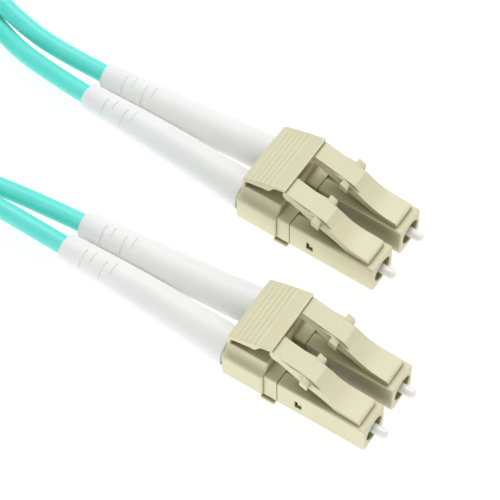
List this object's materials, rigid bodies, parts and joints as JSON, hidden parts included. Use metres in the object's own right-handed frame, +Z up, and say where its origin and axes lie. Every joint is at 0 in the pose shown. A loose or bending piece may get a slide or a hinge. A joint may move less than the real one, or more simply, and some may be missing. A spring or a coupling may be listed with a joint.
{
  "type": "fiber optic patch cord",
  "caption": "Duplex fibre optic patch cord: spring-loaded ferrule plugs with latches, a clip with press trigger, tapered boots and a coiled twin cable.",
  "frame": {"origin": "middle of the box round both plugs and their boots, on the surface they lie on", "axes": "+X towards the ferrules of plug a, along its connectors; +Z up, away from the surface; +Y across, from plug b to plug a"},
  "size_m": [0.1226, 0.0466, 0.0109],
  "materials": {
    "plug_plastic": "moulded, satin, warm grey-beige",
    "boot_plastic": "soft moulded plastic, satin white",
    "cable_jacket": "smooth extruded jacket, aqua, low gloss",
    "zirconia": "polished white",
    "flange_metal": "turned, nickel plated",
    "spring_steel": "drawn wire",
    "crimp_metal": "bare, crimped",
    "fibre_buffer": "smooth extruded",
    "tie_fabric": "black hook-and-loop strap"
  },
  "bodies": {
    "cord": {"housing_a1": "plug_plastic", "rear_body_a1": "plug_plastic", "spring_a1": "spring_steel", "crimp_sleeve_a1": "crimp_metal", "boot_a1": "boot_plastic", "housing_a2": "plug_plastic", "rear_body_a2": "plug_plastic", "spring_a2": "spring_steel", "crimp_sleeve_a2": "crimp_metal", "boot_a2": "boot_plastic", "housing_b1": "plug_plastic", "rear_body_b1": "plug_plastic", "spring_b1": "spring_steel", "crimp_sleeve_b1": "crimp_metal", "boot_b1": "boot_plastic", "housing_b2": "plug_plastic", "rear_body_b2": "plug_plastic", "spring_b2": "spring_steel", "crimp_sleeve_b2": "crimp_metal", "boot_b2": "boot_plastic", "duplex_clip_a": "plug_plastic", "duplex_clip_b": "plug_plastic", "cable_1_a": "cable_jacket", "cable_2_a": "cable_jacket", "cable_1_b": "cable_jacket", "cable_2_b": "cable_jacket", "cable_coil": "cable_jacket", "coil_tie": "tie_fabric"},
    "latch_a1": {"latch_a1": "plug_plastic"},
    "ferrule_a1": {"ferrule_a1": "zirconia", "ferrule_flange_a1": "flange_metal", "buffered_fibre_a1": "fibre_buffer"},
    "latch_a2": {"latch_a2": "plug_plastic"},
    "ferrule_a2": {"ferrule_a2": "zirconia", "ferrule_flange_a2": "flange_metal", "buffered_fibre_a2": "fibre_buffer"},
    "latch_b1": {"latch_b1": "plug_plastic"},
    "ferrule_b1": {"ferrule_b1": "zirconia", "ferrule_flange_b1": "flange_metal", "buffered_fibre_b1": "fibre_buffer"},
    "latch_b2": {"latch_b2": "plug_plastic"},
    "ferrule_b2": {"ferrule_b2": "zirconia", "ferrule_flange_b2": "flange_metal", "buffered_fibre_b2": "fibre_buffer"},
    "trigger_a": {"trigger_a": "plug_plastic"},
    "trigger_b": {"trigger_b": "plug_plastic"}
  },
  "joints": [
    {"name": "trigger_a_press", "type": "hinge", "parent": "cord", "child": "trigger_a", "pos_m": [-0.00297, 0.0095, 0.007], "axis": [0, 1, 0], "range_deg": [0, 10.5], "stiffness_Nm_per_rad": 0.002},
    {"name": "latch_a1_bend", "type": "hinge", "parent": "cord", "child": "latch_a1", "pos_m": [0.01193, 0.00637, 0.00526], "axis": [0, -1, 0], "range_deg": [0, 7.6], "stiffness_Nm_per_rad": 0.002},
    {"name": "ferrule_a1_slide", "type": "slide", "parent": "cord", "child": "ferrule_a1", "axis": [1, 0, 0], "range_m": [-0.001, 0], "stiffness_N_per_m": 300, "springref_m": 0.0015, "deforming": ["spring_a1"]},
    {"name": "latch_a2_bend", "type": "hinge", "parent": "cord", "child": "latch_a2", "pos_m": [0.01193, 0.01263, 0.00526], "axis": [0, -1, 0], "range_deg": [0, 7.6], "stiffness_Nm_per_rad": 0.002},
    {"name": "ferrule_a2_slide", "type": "slide", "parent": "cord", "child": "ferrule_a2", "axis": [1, 0, 0], "range_m": [-0.001, 0], "stiffness_N_per_m": 300, "springref_m": 0.0015, "deforming": ["spring_a2"]},
    {"name": "trigger_b_press", "type": "hinge", "parent": "cord", "child": "trigger_b", "pos_m": [0.00773, -0.0095, 0.007], "axis": [-0.0171, 0.9999, 0], "range_deg": [0, 10.5], "stiffness_Nm_per_rad": 0.002},
    {"name": "latch_b1_bend", "type": "hinge", "parent": "cord", "child": "latch_b1", "pos_m": [0.02268, -0.01237, 0.00526], "axis": [0.0171, -0.9999, 0], "range_deg": [0, 7.6], "stiffness_Nm_per_rad": 0.002},
    {"name": "ferrule_b1_slide", "type": "slide", "parent": "cord", "child": "ferrule_b1", "axis": [0.9999, 0.0171, 0], "range_m": [-0.001, 0], "stiffness_N_per_m": 300, "springref_m": 0.0015, "deforming": ["spring_b1"]},
    {"name": "latch_b2_bend", "type": "hinge", "parent": "cord", "child": "latch_b2", "pos_m": [0.02258, -0.00612, 0.00526], "axis": [0.0171, -0.9999, 0], "range_deg": [0, 7.6], "stiffness_Nm_per_rad": 0.002},
    {"name": "ferrule_b2_slide", "type": "slide", "parent": "cord", "child": "ferrule_b2", "axis": [0.9999, 0.0171, 0], "range_m": [-0.001, 0], "stiffness_N_per_m": 300, "springref_m": 0.0015, "deforming": ["spring_b2"]}
  ],
  "couplings": [
    {"joint": "latch_a1_bend", "follows": "trigger_a_press", "ratio": 0.72},
    {"joint": "latch_a2_bend", "follows": "trigger_a_press", "ratio": 0.72},
    {"joint": "latch_b1_bend", "follows": "trigger_b_press", "ratio": 0.72},
    {"joint": "latch_b2_bend", "follows": "trigger_b_press", "ratio": 0.72}
  ]
}
